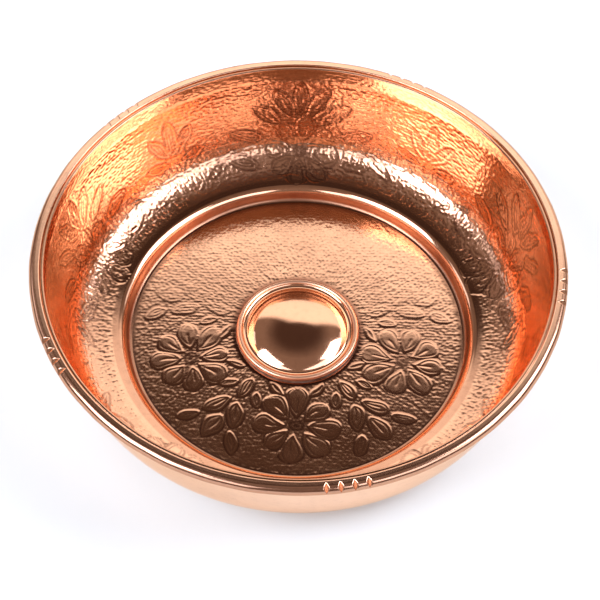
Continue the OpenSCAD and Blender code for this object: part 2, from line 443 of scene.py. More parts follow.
def dents_round(along, bearing, pitch, spread):
    """Dents on a lattice that closes round the bowl: a whole number of cells to the turn."""
    cells_round = round(TURN * LATTICE_RADIUS / pitch)
    return dents(bearing / TURN * cells_round * pitch, along, pitch, spread, cells_round)


def planishing(along, bearing, chasing):
    """Shallow marks left by the planishing hammer, from 0 to 1."""
    return dents_round(along, bearing, chasing.hammer_pitch, 0.55 * chasing.hammer_pitch)


def sway(x, y, amount):
    """How far a line drawn by hand strays at a place: a sum of three slow sines in each direction."""
    across = np.sin(410 * x + 230 * y + 0.7) + np.sin(-190 * x + 520 * y + 2.1) + np.sin(830 * x + 90 * y)
    along = np.sin(370 * y - 310 * x + 1.9) + np.sin(640 * x + 150 * y + 0.3) + np.sin(-70 * x + 910 * y)
    return amount * across / 3, amount * along / 3


def lens_shape(share, foot, tip):
    """A petal's half-width along its length, from 0 to 1: share^foot (1 - share)^tip over its peak."""
    share = np.clip(share, 0, 1)
    peak = foot / (foot + tip)
    return share**foot * (1 - share) ** tip / (peak**foot * (1 - peak) ** tip)


def lens_gap(reach, across, size, half_width, foot=1.0, tip=0.5):
    """Distance to a petal's outline, below 0 inside, and the depth, 0 to 1, of the vein along its middle."""
    share = reach / size
    width = half_width * lens_shape(share, foot, tip)
    past = np.maximum(np.maximum(-share, share - 1), 0) * size
    side = np.abs(across) - width
    gap = np.where(past > 0, np.hypot(np.maximum(side, 0), past), side)
    vein_width = 0.28 * MM
    vein = bell(across, vein_width) * ease(0.08, 0.2, share) * (1 - ease(0.55, 0.72, share))
    return gap, vein


def leaf(out, side, foot, tip, half_width):
    """A lens-shaped leaf between two points, in coordinates along and across the line that joins them."""
    reach = math.dist(foot, tip)
    direction = ((tip[0] - foot[0]) / reach, (tip[1] - foot[1]) / reach)
    along = (out - foot[0]) * direction[0] + (side - foot[1]) * direction[1]
    across = (side - foot[1]) * direction[0] - (out - foot[0]) * direction[1]
    return lens_gap(along, across, reach, half_width, 0.6, 0.6)


def leaves(out, side, table):
    """The leaves of a table that gives each one's foot, tip and half-width in mm."""
    made = []
    for foot, tip, half_width in table:
        made.append(leaf(out, side, np.multiply(foot, MM), np.multiply(tip, MM), half_width * MM))
    return made


def flower(out, side, chasing, which, scale=1.0):
    """A flower: its petals repeat round its centre by folding the bearing into one petal's share of the
    turn, and a ring with a dot marks the centre. Each flower is turned by its own amount, and its petals
    differ."""
    reach = np.hypot(out, side)
    share = TURN / chasing.petals
    turned = np.arctan2(side, out) + strayed(0.6, which, 0, 4)
    petal = share_number(turned, share, chasing.petals)
    bearing = folded(turned, share) + strayed(0.12, petal, which, 5)
    size = scale * (0.9 + 0.2 * scattered(petal, which, 6))
    gap, vein = lens_gap(
        reach * np.cos(bearing) - scale * chasing.petal_start,
        reach * np.sin(bearing),
        size * chasing.petal_length,
        size * chasing.petal_width,
    )
    ring_radius = 0.62 * scale * chasing.petal_start
    ring = np.maximum(np.abs(reach - ring_radius) - 0.25 * MM, 0.12 * MM)
    dot = np.maximum(reach - 0.7 * MM, 0.05 * MM)
    return np.minimum(gap, np.minimum(ring, dot)), vein


def nearest(motifs):
    """Several motifs as one: the smallest distance and the deepest vein."""
    gaps, veins = zip(*motifs)
    return np.minimum.reduce(gaps), np.maximum.reduce(veins)


class Relief:
    """What the chasing tools leave: the lift of the surface, how matt it is and how much tarnish darkens its
    lines and marks, in a layer that also carries painted shade.
    """

    def __init__(self, gap, vein, marks, ground, chasing, drawn, covered, matt):
        """Lift = crown inside the motifs - bells along their outlines and a fainter line inside them - veins
        - ground outside, with punch marks. drawn is the strength of the drawing, covered the share of the
        ground that runs on inside the motifs, and matt the share by which the ground is dulled."""
        inner_width = 0.35 * MM
        vein_depth = 0.8
        line_tarnish = 0.85
        vein_tarnish = 0.5
        mark_tarnish = 0.35
        inner = chasing.inner_line * bell(gap + chasing.inner_gap, inner_width)
        outline = np.maximum(bell(gap, chasing.line_width), inner)
        inside = ease(0.1 * MM, -1.3 * MM, gap)
        outside = ground * (covered + (1 - covered) * ease(0.0, 0.6 * MM, gap))
        self.lift = (
            chasing.pillow * inside * drawn
            - chasing.line_depth * np.maximum(outline, vein_depth * vein) * drawn
            - (chasing.ground_depth + chasing.mark_depth * marks) * outside
        )
        self.matt = matt * outside
        in_lines = (line_tarnish * outline + vein_tarnish * vein) * drawn
        self.patina_and_shade = np.clip(in_lines + mark_tarnish * np.minimum(marks, 1) * outside, 0, 1)

    def add_step_shade_and_dullness(self, along, path):
        """Adds painted shade in the crease of the step's hollow and, less of it, in a dark band outside the
        ridge, and dulls the hollow's steep face."""
        hollow_shade = 1.1
        band_shade = 0.6
        steep_dullness = 1.8
        past_floor = along - path.floor_end
        past_ridge = along - path.ridge
        # Painted shade: the crease of the step's hollow and a band outside the ridge are darkened.
        hollow = ease(-3 * MM, 0.5 * MM, past_floor) * (1 - ease(-1.2 * MM, 0.6 * MM, past_ridge))
        band = ease(0.5 * MM, 2 * MM, past_ridge) * (1 - ease(4.3 * MM, 5.3 * MM, past_ridge))
        self.patina_and_shade = np.maximum(self.patina_and_shade, hollow_shade * hollow + band_shade * band)
        steep = ease(0.3 * MM, 1.2 * MM, past_floor) * hollow
        self.matt = np.maximum(self.matt, steep_dullness * steep)


def floor_relief(radius, bearing, chasing, path, sizes):
    """Chasing of the floor. The bearing is folded into one flower's share of the turn, so that flowers lie
    on the axis of each share and sprays of leaves on the axis between two shares. The ground is matted all
    over, and on the far half the drawing, its tarnish and the marks fade: painted light standing in for the
    bright backdrop reflected there."""
    x = radius * np.cos(bearing)
    y = radius * np.sin(bearing)
    stray_x, stray_y = sway(x, y, chasing.wobble)
    share = TURN / chasing.flowers
    drawn_r = np.hypot(x + stray_x, y + stray_y)
    drawn_bearing = np.arctan2(y + stray_y, x + stray_x) - chasing.floor_bearing
    on_axis = folded(drawn_bearing, share)
    between = drawn_bearing % share - share / 2
    flower_out = drawn_r * np.cos(on_axis) - chasing.flower_radius
    which = share_number(drawn_bearing, share, chasing.flowers)
    gap, vein = nearest([
        flower(flower_out, drawn_r * np.sin(on_axis), chasing, which),
        *leaves(drawn_r * np.cos(between), np.abs(drawn_r * np.sin(between)), FLOOR_SPRAY),
    ])
    mark_fade = 0.35
    faintest = 0.35
    dullness = 0.2
    boss_shadow = 1.4
    far_away = 1.0
    # Painted light: the far half's drawing, tarnish and marks fade, standing in for the bright backdrop
    # reflected there.
    faded = chasing.far_fade * ease(-0.1, 0.45, np.sin(bearing))
    marks = (1 - mark_fade * faded) * dents(x, y, chasing.mark_pitch, 0.5 * chasing.mark_pitch)
    plain = 0.8 * MM
    foot = sizes.boss_radius + plain
    edge = FLOOR_SEAM - 0.1 * MM
    at_edge = ease(edge - 1.2 * MM, edge, radius)
    ground = ease(foot, foot + plain, radius) * (1 - at_edge)
    gap = np.where((radius > foot) & (radius < edge), gap, far_away)
    drawn = (1 - faded) * np.maximum(ground, faintest)
    relief = Relief(gap, vein, marks, ground, chasing, drawn, faded, dullness)
    relief.lift = relief.lift - chasing.ground_depth * at_edge
    # Painted shadow in a band round the foot of the boss's wire.
    near_boss = 1 - ease(0.6 * MM, 4 * MM, radius - sizes.boss_radius)
    relief.patina_and_shade = np.maximum(relief.patina_and_shade, boss_shadow * near_boss)
    relief.add_step_shade_and_dullness(radius, path)
    return relief


def bowl_relief(along, bearing, radius, chasing):
    """Chasing of the cove and the wall, in coordinates up the sheet from the ridge and round it. A flower
    sits in the cove on the axis of each share, leaves fan out above it and lie to both sides, and the matted
    ground fades out below the collar. Marks and drawing are deeper in the cove than on the wall."""
    x = radius * np.cos(bearing)
    y = radius * np.sin(bearing)
    stray_up, stray_round = sway(x + 1.3 * along, y - 0.7 * along, chasing.wobble)
    share = TURN / chasing.flowers
    next_number = 11
    flower_scale = 0.95
    covered = 0.75
    from_first = bearing - chasing.cove_bearing
    which = share_number(from_first, share, chasing.flowers)
    up = along + stray_up
    side = radius * folded(from_first, share) + stray_round
    sprig_side = radius * (from_first % share - share / 2) + stray_round
    gap, vein = nearest([
        flower(up - chasing.cove_flower, side, chasing, which + next_number, flower_scale),
        *leaves(up, np.abs(side), COVE_SPRAY),
        *leaves(up, np.abs(sprig_side), COVE_SPRIG),
    ])
    marks = dents_round(along, bearing, chasing.mark_pitch, 0.42 * chasing.mark_pitch)
    ground = ease(3.5 * MM, 9 * MM, along) * (1 - ease(52 * MM, 57 * MM, along))
    cove = 1 - ease(14 * MM, 30 * MM, along)
    struck = marks * blend(chasing.wall_marks, chasing.cove_marks, cove)
    drawn = blend(1.7, 2.0, cove)
    matt = blend(0.5, 1.0, cove)
    return Relief(gap, vein, struck, ground, chasing, drawn, covered, matt)


def revolved(radius, height, bearing):
    """Points of a turned surface: (radius cos bearing, radius sin bearing, height), for rows and columns."""
    radius, height, bearing = np.broadcast_arrays(radius, height, bearing)
    return np.stack([radius * np.cos(bearing), radius * np.sin(bearing), height], axis=-1)


def turned_section(section, bearing):
    """A section's points, each a radius and a height, carried round the axis."""
    return revolved(section[:, :1], section[:, 1:], bearing)


def ring_faces(rows, columns):
    """Quads of a grid that closes on itself in both directions."""
    row = np.arange(rows)[:, None]
    column = np.arange(columns)[None, :]
    next_row = (row + 1) % rows
    next_column = (column + 1) % columns
    corners = [
        row * columns + column,
        next_row * columns + column,
        next_row * columns + next_column,
        row * columns + next_column,
    ]
    return np.stack(np.broadcast_arrays(*corners), axis=-1).reshape(-1, 4)


def fan_faces(pole, first, columns):
    """Triangles from a pole to each edge of a closed row of points, given the row's first point."""
    column = np.arange(columns)
    next_column = (column + 1) % columns
    return np.stack([np.full(columns, pole), first + column, first + next_column], axis=1)


def make_piece(name, points, quads, fans, node, material, layers=None):
    """A mesh piece from points, quads and triangles, smooth but for edges sharper than the crease."""
    mesh = bpy.data.meshes.new(name)
    points = np.asarray(points, np.float32).reshape(-1, 3)
    corners = np.concatenate([quads.ravel(), fans.ravel()]).astype(np.int32)
    quad_starts = np.arange(len(quads)) * 4
    fan_starts = quads.size + np.arange(len(fans)) * 3
    starts = np.concatenate([quad_starts, fan_starts]).astype(np.int32)
    mesh.vertices.add(len(points))
    mesh.vertices.foreach_set("co", points.ravel())
    mesh.loops.add(len(corners))
    mesh.loops.foreach_set("vertex_index", corners)
    mesh.polygons.add(len(starts))
    mesh.polygons.foreach_set("loop_start", starts)
    mesh.update(calc_edges=True)
    mesh.polygons.foreach_set("use_smooth", np.ones(len(starts), bool))
    mesh.set_sharp_from_angle(angle=CREASE)
    for layer, values in (layers or {}).items():
        attribute = mesh.attributes.new(layer, "FLOAT", "POINT")
        attribute.data.foreach_set("value", np.asarray(values, np.float32).ravel())
    mesh.materials.append(material)
    mesh.validate()
    piece = bpy.data.objects.new(name, mesh)
    bpy.context.scene.collection.objects.link(piece)
    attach(piece, BODY)
    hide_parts(node)
    return piece


def make_ring(name, points, node, material, layers=None):
    """A piece from a closed section carried round the axis."""
    rows, columns = points.shape[:2]
    no_fans = np.zeros((0, 3), int)
    return make_piece(name, points, ring_faces(rows, columns), no_fans, node, material, layers)


def make_disc(name, points, top, bottom, node, material, layers=None):
    """A piece from an open section carried round the axis, closed there by a point above and one below."""
    rows, columns = points.shape[:2]
    last = (rows - 1) * columns
    quads = ring_faces(rows, columns)[:last]
    above = fan_faces(rows * columns, 0, columns)
    below = fan_faces(rows * columns + 1, last, columns)[:, [0, 2, 1]]
    poles = np.array([[0, 0, top], [0, 0, bottom]])
    all_points = np.concatenate([points.reshape(-1, 3), poles])
    ends = [0, 0]
    layers = {layer: np.concatenate([values.ravel(), ends]) for layer, values in (layers or {}).items()}
    fans = np.concatenate([above, below])
    return make_piece(name, all_points, quads, fans, node, material, layers)


def put(tree, socket, value):
    """Links a socket to another one, or sets it to a plain value."""
    if isinstance(value, bpy.types.NodeSocket):
        tree.links.new(value, socket)
    else:
        socket.default_value = value


def add_node(tree, kind, **inputs):
    """A shader node with some of its inputs put in, each named with _ for a space."""
    made = tree.nodes.new(kind)
    for name, value in inputs.items():
        put(tree, made.inputs[name.replace("_", " ")], value)
    return made


def add_math(tree, operation, *values):
    """A math node's result for numbers or sockets."""
    made = tree.nodes.new("ShaderNodeMath")
    made.operation = operation
    for socket, value in zip(made.inputs, values):
        put(tree, socket, value)
    return made.outputs[0]


def add_sum(tree, first, first_share, second, second_share):
    """A sum of two values, each times its share."""
    second_part = add_math(tree, "MULTIPLY", second, second_share)
    return add_math(tree, "MULTIPLY_ADD", first, first_share, second_part)


def add_range(tree, value, low, high, to_low, to_high, smooth=False):
    """A value carried from one range to another."""
    made = add_node(tree, "ShaderNodeMapRange", Value=value, From_Min=low, From_Max=high)
    made.inputs["To Min"].default_value = to_low
    made.inputs["To Max"].default_value = to_high
    made.interpolation_type = "SMOOTHSTEP" if smooth else "LINEAR"
    return made.outputs["Result"]


def add_blend(tree, share, first, second):
    """A colour between two colours."""
    made = tree.nodes.new("ShaderNodeMix")
    made.data_type = "RGBA"
    for index, value in ((0, share), (6, first), (7, second)):
        put(tree, made.inputs[index], value)
    return made.outputs[2]


def add_noise(tree, place, scale, detail, roughness=0.5):
    """Noise from 0 to 1, with about as many clouds to the metre as its scale."""
    made = add_node(tree, "ShaderNodeTexNoise", Vector=place, Scale=scale, Detail=detail)
    made.inputs["Roughness"].default_value = roughness
    return made.outputs["Fac"]


def add_layer(tree, name):
    """One of a piece's layers, as a value."""
    made = tree.nodes.new("ShaderNodeAttribute")
    made.attribute_name = name
    return made.outputs["Fac"]


def new_material(name):
    """An empty node material with its output's surface socket."""
    material = bpy.data.materials.new(name)
    material.use_nodes = True
    tree = material.node_tree
    tree.nodes.clear()
    output = tree.nodes.new("ShaderNodeOutputMaterial")
    return material, tree, output.inputs["Surface"]


def with_alpha(rgb):
    """A colour property as the four numbers that a node's colour socket takes."""
    return (*rgb, 1.0)


def add_metal(tree, surface, body, gloss, skin, skin_depth, skin_share, glance=(1, 1, 1)):
    """A metal shader on a material's surface, with a colour, a roughness, a bump and a tint at a glance."""
    bump = add_node(tree, "ShaderNodeBump", Strength=skin_share, Distance=skin_depth, Height=skin)
    shader = add_node(tree, "ShaderNodeBsdfPrincipled", Metallic=1.0, Base_Color=body, Roughness=gloss)
    shader.inputs["Specular Tint"].default_value = with_alpha(glance)
    tree.links.new(bump.outputs["Normal"], shader.inputs["Normal"])
    tree.links.new(shader.outputs["BSDF"], surface)


def copper_material(name, metal, finish, chased):
    """Polished copper: cloudy tarnish and specks from noise. On a chased piece the patina_and_shade layer
    darkens it with tarnish and painted shade, the matt layer roughens it, and the outside layer turns it
    pale, a painted reflection of the white floor. Specks and scratches give it a shallow bump."""
    material, tree, surface = new_material(name)
    place = tree.nodes.new("ShaderNodeTexCoord").outputs["Object"]
    clouds = add_noise(tree, place, 38, 4, 0.6)
    specks = add_noise(tree, place, 420, 3, 0.65)
    scratches = add_noise(tree, place, 1500, 2)
    cloud_share = add_range(tree, clouds, 0.42, 0.75, 0.0, 0.15)
    speck_share = add_range(tree, specks, 0.5, 0.8, 0.0, 0.12)
    stain_and_shade = add_math(tree, "ADD", cloud_share, speck_share)
    gloss = add_range(tree, clouds, 0.35, 0.7, finish.polish, finish.polish + 0.06)
    clean = with_alpha(metal)
    patina_and_shade_share = 0.6
    most_stain_and_shade = 0.92
    if chased:
        # Tarnish in the chased lines and marks, and painted shade in the step, round the boss and on the
        # bead's nose.
        stain_and_shade = add_math(tree, "MULTIPLY_ADD", add_layer(tree, "patina_and_shade"), patina_and_shade_share, stain_and_shade)
        gloss = add_math(tree, "MULTIPLY_ADD", add_layer(tree, "matt"), finish.matt - finish.polish, gloss)
        # The outside layer paints the plain lower face a paler copper, a painted reflection of the white
        # floor.
        clean = add_blend(tree, add_layer(tree, "outside"), clean, with_alpha(finish.outside))
    stain_and_shade = add_math(tree, "MINIMUM", stain_and_shade, most_stain_and_shade)
    body = add_blend(tree, stain_and_shade, clean, with_alpha(finish.tarnish_and_shade))
    grain = add_math(tree, "MULTIPLY_ADD", scratches, 0.5, specks)
    add_metal(tree, surface, body, gloss, grain, 0.06 * MM, 0.1, finish.copper_edge)
    return material


def solder_material(finish):
    """Dull solder: grey metal with brown flux stains and a lumpy skin from two sizes of noise."""
    material, tree, surface = new_material("grey_solder")
    place = tree.nodes.new("ShaderNodeTexCoord").outputs["Object"]
    lumps = add_noise(tree, place, 330, 3)
    stains = add_noise(tree, place, 120, 4, 0.7)
    share = add_range(tree, stains, 0.35, 0.65, 0.15, 0.9)
    body = add_blend(tree, share, with_alpha(finish.solder), with_alpha(finish.solder_dull))
    gloss = add_range(tree, lumps, 0.3, 0.7, 0.34, 0.55)
    add_metal(tree, surface, body, gloss, lumps, 0.2 * MM, 0.5)
    return material


def bowl_copper(scene):
    """The bowl's chased copper, made once for its three pieces."""
    finish = scene.copper_finish
    made = bpy.data.materials.get("chased_copper")
    return made or copper_material("chased_copper", finish.copper, finish, True)


def wall_seam(path):
    """Length along the sheet at which the cove's piece ends and the wall's begins."""
    outside = path.length > path.ridge
    return float(np.interp(WALL_SEAM_HEIGHT, path.height[outside], path.length[outside]))


def sheet_layers(relief, edge_rows, plain_rows):
    """The patina_and_shade, matt and outside layers of a chased face, then of a dull cut edge and of plain
    sheet, whose outside layer paints it paler as a painted reflection.
    """
    columns = relief.lift.shape[1]
    dull = 0.6
    edge = np.full((edge_rows, columns), dull)
    plain = np.zeros((plain_rows, columns))
    return {
        "patina_and_shade": np.concatenate([relief.patina_and_shade, edge, plain]),
        "matt": np.concatenate([relief.matt, edge, plain]),
        "outside": np.concatenate([np.zeros_like(relief.lift), 0 * edge, plain + 1]),
    }


class BATHBOWL_OT_shell_floor(bpy.types.Operator):
    """Build the sunken floor with its chased flowers"""

    bl_idname = "bath_bowl.shell_floor"
    bl_label = "Chased Floor"

    def execute(self, context):
        """Rings are far apart under the boss and close where the chasing is. The underside is flat."""
        scene = context.scene
        sizes = scene.bowl_sizes
        chasing = scene.chasing_sizes
        path = SheetPath(sizes)
        bearing = bearings(FLOOR_COLUMNS)
        middle = 4 * MM
        under_boss = sizes.boss_radius - 2 * MM
        hidden = np.linspace(middle, under_boss, 5)[:-1]
        shown = np.linspace(under_boss, FLOOR_SEAM, 96)
        along = np.concatenate([hidden, shown])
        relief = floor_relief(along[:, None], bearing, chasing, path, sizes)
        dent = planishing(along[:, None], np.broadcast_to(bearing, relief.lift.shape), chasing)
        radius, height = path.raised(along, relief.lift - 0.5 * chasing.hammer_depth * dent)
        under = np.array([FLOOR_SEAM, 40 * MM, middle])
        top = revolved(radius, height, bearing)
        bottom = revolved(under[:, None], 0.0, bearing)
        points = np.concatenate([top, bottom])
        layers = sheet_layers(relief, 0, len(under))
        metal = bowl_copper(scene)
        make_disc("shell_floor", points, sizes.sheet, 0, "bowl_shell", metal, layers)
        return {"FINISHED"}


def sheet_ring(name, scene, along, cap):
    """A ring of the sheet over rising lengths along its path: the chased upper face, an edge and the plain
    lower face, each row carried round the axis."""
    sizes = scene.bowl_sizes
    chasing = scene.chasing_sizes
    path = SheetPath(sizes)
    bearing = bearings(SHEET_COLUMNS)
    length_along = along[:, None]
    radius = path.at(along)[0][:, None]
    from_ridge = np.broadcast_to(length_along - path.ridge, (len(along), SHEET_COLUMNS))
    round_bowl = np.broadcast_to(bearing, from_ridge.shape)
    relief = bowl_relief(from_ridge, round_bowl, radius, chasing)
    relief.add_step_shade_and_dullness(length_along, path)
    to_top = path.end - path.ridge
    hammered = ease(2 * MM, 6 * MM, from_ridge) * (1 - ease(to_top - 5 * MM, to_top, from_ridge))
    dent = planishing(from_ridge, round_bowl, chasing) * hammered
    border = 0.5 * chasing.line_depth * bell(length_along - wall_seam(path), chasing.line_width)
    lowered = chasing.ground_depth * (1 - ease(FLOOR_SEAM, FLOOR_SEAM + 2.2 * MM, length_along))
    lift = relief.lift - chasing.hammer_depth * dent - border - lowered
    top = revolved(*path.raised(along, lift), bearing)
    under = path.underside(np.linspace(along[-1], along[0], 14))
    points = np.concatenate([top, turned_section(np.concatenate([cap, under]), bearing)])
    layers = sheet_layers(relief, len(cap), len(under))
    metal = bowl_copper(scene)
    return make_ring(name, points, "bowl_shell", metal, layers)


class BATHBOWL_OT_shell_cove(bpy.types.Operator):
    """Build the step, the ridge and the cove"""

    bl_idname = "bath_bowl.shell_cove"
    bl_label = "Ridge and Cove"

    def execute(self, context):
        """The ring of sheet from the flat floor to the seam in the wall, with closer rows over the step."""
        path = SheetPath(context.scene.bowl_sizes)
        bent = path.ridge + 3 * MM
        step = np.linspace(FLOOR_SEAM, bent, 46)[:-1]
        cove = np.linspace(bent, wall_seam(path), 42)
        no_edge = np.zeros((0, 2))
        sheet_ring("shell_cove", context.scene, np.concatenate([step, cove]), no_edge)
        return {"FINISHED"}


class BATHBOWL_OT_shell_wall(bpy.types.Operator):
    """Build the leaning wall and the collar"""

    bl_idname = "bath_bowl.shell_wall"
    bl_label = "Wall and Collar"

    def execute(self, context):
        """The ring of sheet from the seam to the collar's top, where two quarter arcs round the cut edge."""
        sizes = context.scene.bowl_sizes
        path = SheetPath(sizes)
        rim = path.rim
        low = rim.edge_z - sizes.edge_round
        inner = arc((rim.collar_in_r + sizes.edge_round, low), sizes.edge_round, math.pi, math.pi / 2, 6)[1:]
        outer = arc((rim.collar_r - sizes.edge_round, low), sizes.edge_round, math.pi / 2, 0, 6)[:-1]
        edge = np.concatenate([inner, outer])
        sheet_ring("shell_wall", context.scene, np.linspace(wall_seam(path), path.end, 76), edge)
        return {"FINISHED"}


def bead_bearings(sizes, rim):
    """Bearings round the bead, close together across each group of notches and far apart between groups."""
    share = TURN / sizes.notch_groups
    half = (sizes.notch_count + 1) * sizes.notch_pitch / 2 / rim.centre[0]
    group = np.linspace(-half, half, 150, endpoint=False)
    plain = np.linspace(half, share - half, 100, endpoint=False)
    starts = sizes.notch_bearing + share * np.arange(sizes.notch_groups)
    return (starts[:, None] + np.concatenate([group, plain])).ravel()


def notch_cut(section, bearing, sizes, rim):
    """How far a file's V cut lowers the bead: height of the surface above the cut's floor along the file's
    direction, less the rise of the V's flank, |distance from the notch| 2 depth / width, where that is
    above 0, with a soft edge. The bearing is folded into a group's share of the turn and then into a
    notch's share of the group."""
    along = folded(bearing - sizes.notch_bearing, TURN / sizes.notch_groups) * rim.centre[0]
    half_span = sizes.notch_count * sizes.notch_pitch / 2
    from_notch = (along + half_span) % sizes.notch_pitch - sizes.notch_pitch / 2
    file_way = np.array([math.cos(sizes.notch_lean), math.sin(sizes.notch_lean)])
    height = (section - rim.centre) @ file_way - (rim.nose_r - sizes.notch_depth)
    cut = height[:, None] - np.abs(from_notch) * 2 * sizes.notch_depth / sizes.notch_width
    soft = 0.05 * MM
    rounded = soft * np.logaddexp(0, cut / soft)
    return np.where((np.abs(along) < half_span) & (cut > -6 * soft), rounded, 0)


def bead_section(sizes, rim):
    """The bead's D-shaped section from its foot on the collar, over its top and round its nose: a small
    corner arc, a straight top, a half circle and a straight underside."""
    corner = sizes.bead_corner
    top_corner = arc((rim.collar_r + corner, sizes.bowl_height - corner), corner, math.pi, math.pi / 2, 6)
    top = straight(top_corner[-1], (rim.centre[0], sizes.bowl_height), 6)[1:-1]
    nose = arc(rim.centre, rim.nose_r, math.pi / 2, -math.pi / 2, 34)
    under = straight(nose[-1], (rim.collar_r, rim.low_z), 4)[1:]
    side = straight(under[-1], top_corner[0], 4)[1:-1]
    return np.concatenate([top_corner, top, nose, under, side])


class BATHBOWL_OT_rim_bead(bpy.types.Operator):
    """Build the D-shaped rim bead with its groups of notches"""

    bl_idname = "bath_bowl.rim_bead"
    bl_label = "Rim Bead"

    def execute(self, context):
        """The section carried round the rim, each point lowered along the file's direction where a notch is
        cut and drawn in a little where the wire is uneven. The nose is darkened with painted shade, which
        the notches are left without."""
        scene = context.scene
        sizes = scene.bowl_sizes
        rim = Rim(sizes)
        bearing = bead_bearings(sizes, rim)[None, :]
        section = bead_section(sizes, rim)
        cut = notch_cut(section, bearing, sizes, rim)
        out = ease(rim.collar_r, sizes.rim_radius, section[:, :1])
        unevenness = 0.03 * MM
        uneven = unevenness * out * (2 + np.sin(23 * bearing) + np.sin(41 * bearing))
        radius = section[:, :1] - cut * math.cos(sizes.notch_lean) - uneven
        height = section[:, 1:] - cut * math.sin(sizes.notch_lean)
        # Painted shade on the bead's nose, left off where a notch is cut.
        nose = 0.8 * ease(0.05, 0.5, (section[:, :1] - rim.centre[0]) / rim.nose_r)
        patina_and_shade = nose * (1 - ease(0.05, 0.3, cut / sizes.notch_depth))
        layers = {"patina_and_shade": patina_and_shade, "matt": np.full_like(patina_and_shade, 0.6)}
        finish = scene.copper_finish
        metal = copper_material("bead_copper", finish.bead, finish, True)
        make_ring("bead", revolved(radius, height, bearing), "rim_bead", metal, layers)
        return {"FINISHED"}


def boss_face(sizes, depth):
    """One face of the boss's sheet, a depth below its upper face: three arcs that meet at equal slopes, the
    wide crown, the tighter shoulder and the hollow that turns up to the wire."""
    hollow_z = sizes.sheet + sizes.cap_sheet + sizes.hollow_radius
    hollow = np.array([sizes.flange_radius - sizes.hollow_run, hollow_z])
    fall = np.array([math.sin(sizes.dome_slope), math.cos(sizes.dome_slope)])
    shoulder = hollow - (sizes.hollow_radius + sizes.shoulder_radius) * fall
    crown_slope = math.asin(shoulder[0] / (sizes.crown_radius - sizes.shoulder_radius))
    crown_z = shoulder[1] - (sizes.crown_radius - sizes.shoulder_radius) * math.cos(crown_slope)
    edge_slope = math.asin(sizes.hollow_run / (sizes.hollow_radius + depth))
    up = math.pi / 2
    return np.concatenate([
        arc((0, crown_z), sizes.crown_radius - depth, up, up - crown_slope, 24)[:-1],
        arc(shoulder, sizes.shoulder_radius - depth, up - crown_slope, up - sizes.dome_slope, 24)[:-1],
        arc(hollow, sizes.hollow_radius + depth, -up - sizes.dome_slope, -up + edge_slope, 16),
    ])


class BATHBOWL_OT_boss_cap(bpy.types.Operator):
    """Build the hollow domed boss"""

    bl_idname = "bath_bowl.boss_cap"
    bl_label = "Boss Dome"

    def execute(self, context):
        """The sheet's upper face, its edge at the wire and its lower face, carried round the axis."""
        scene = context.scene
        sizes = scene.bowl_sizes
        upper = boss_face(sizes, 0)
        lower = boss_face(sizes, sizes.cap_sheet)[::-1]
        section = np.concatenate([upper[1:], lower[:-1]])
        points = turned_section(section, bearings(BOSS_COLUMNS))
        finish = scene.copper_finish
        metal = copper_material("boss_copper", finish.copper, finish, False)
        make_disc("boss_dome", points, upper[0, 1], lower[-1, 1], "boss_cap", metal)
        return {"FINISHED"}


class BATHBOWL_OT_boss_ring(bpy.types.Operator):
    """Build the wire ring round the boss"""

    bl_idname = "bath_bowl.boss_ring"
    bl_label = "Boss Ring"

    def execute(self, context):
        """A circle of the wire's radius carried round the axis, in the frame's own plain copper."""
        sizes = context.scene.bowl_sizes
        wire_r = sizes.wire_diameter / 2
        section = np.linspace(TURN, 0, 32, endpoint=False)[:, None]
        radius = sizes.boss_radius - wire_r + wire_r * np.cos(section)
        height = sizes.wire_low + wire_r + wire_r * np.sin(section)
        points = revolved(radius, height, bearings(BOSS_COLUMNS))
        metal = bpy.data.materials["boss_copper"]
        make_ring("boss_wire", points, "boss_ring", metal)
        return {"FINISHED"}


class BATHBOWL_OT_solder(bpy.types.Operator):
    """Build the solder under the bead and under the boss's wire"""

    bl_idname = "bath_bowl.solder"
    bl_label = "Solder"

    def execute(self, context):
        """A wedge in the corner under the bead, and a bed hollowed by the wire."""
        scene = context.scene
        sizes = scene.bowl_sizes
        rim = Rim(sizes)
        metal = solder_material(scene.copper_finish)
        bearing = bearings(SOLDER_COLUMNS)
        root = (rim.collar_r, rim.low_z)
        toe = (rim.collar_r + sizes.rim_solder_width, rim.low_z)
        foot = (rim.collar_r, rim.solder_z)
        wedge = np.concatenate([
            straight(root, toe, 5)[:-1],
            straight(toe, foot, 8)[:-1],
            straight(foot, root, 5)[:-1],
        ])
        make_ring("rim_solder_wedge", turned_section(wedge, bearing), "rim_solder", metal)
        wire_r = sizes.wire_diameter / 2
        wire_centre = (sizes.boss_radius - wire_r, sizes.wire_low + wire_r)
        hang = math.asin((sizes.bed_top - wire_centre[1]) / wire_r)
        hollow = arc(wire_centre, wire_r, math.pi - hang, TURN + hang, 12)
        bed = np.concatenate([
            [[sizes.flange_radius, sizes.sheet], [sizes.flange_radius, sizes.bed_top]],
            hollow,
            [[sizes.boss_radius, sizes.bed_top], [sizes.bed_radius, sizes.sheet]],
        ])
        make_ring("boss_solder_bed", turned_section(bed, bearing), "boss_solder", metal)
        return {"FINISHED"}


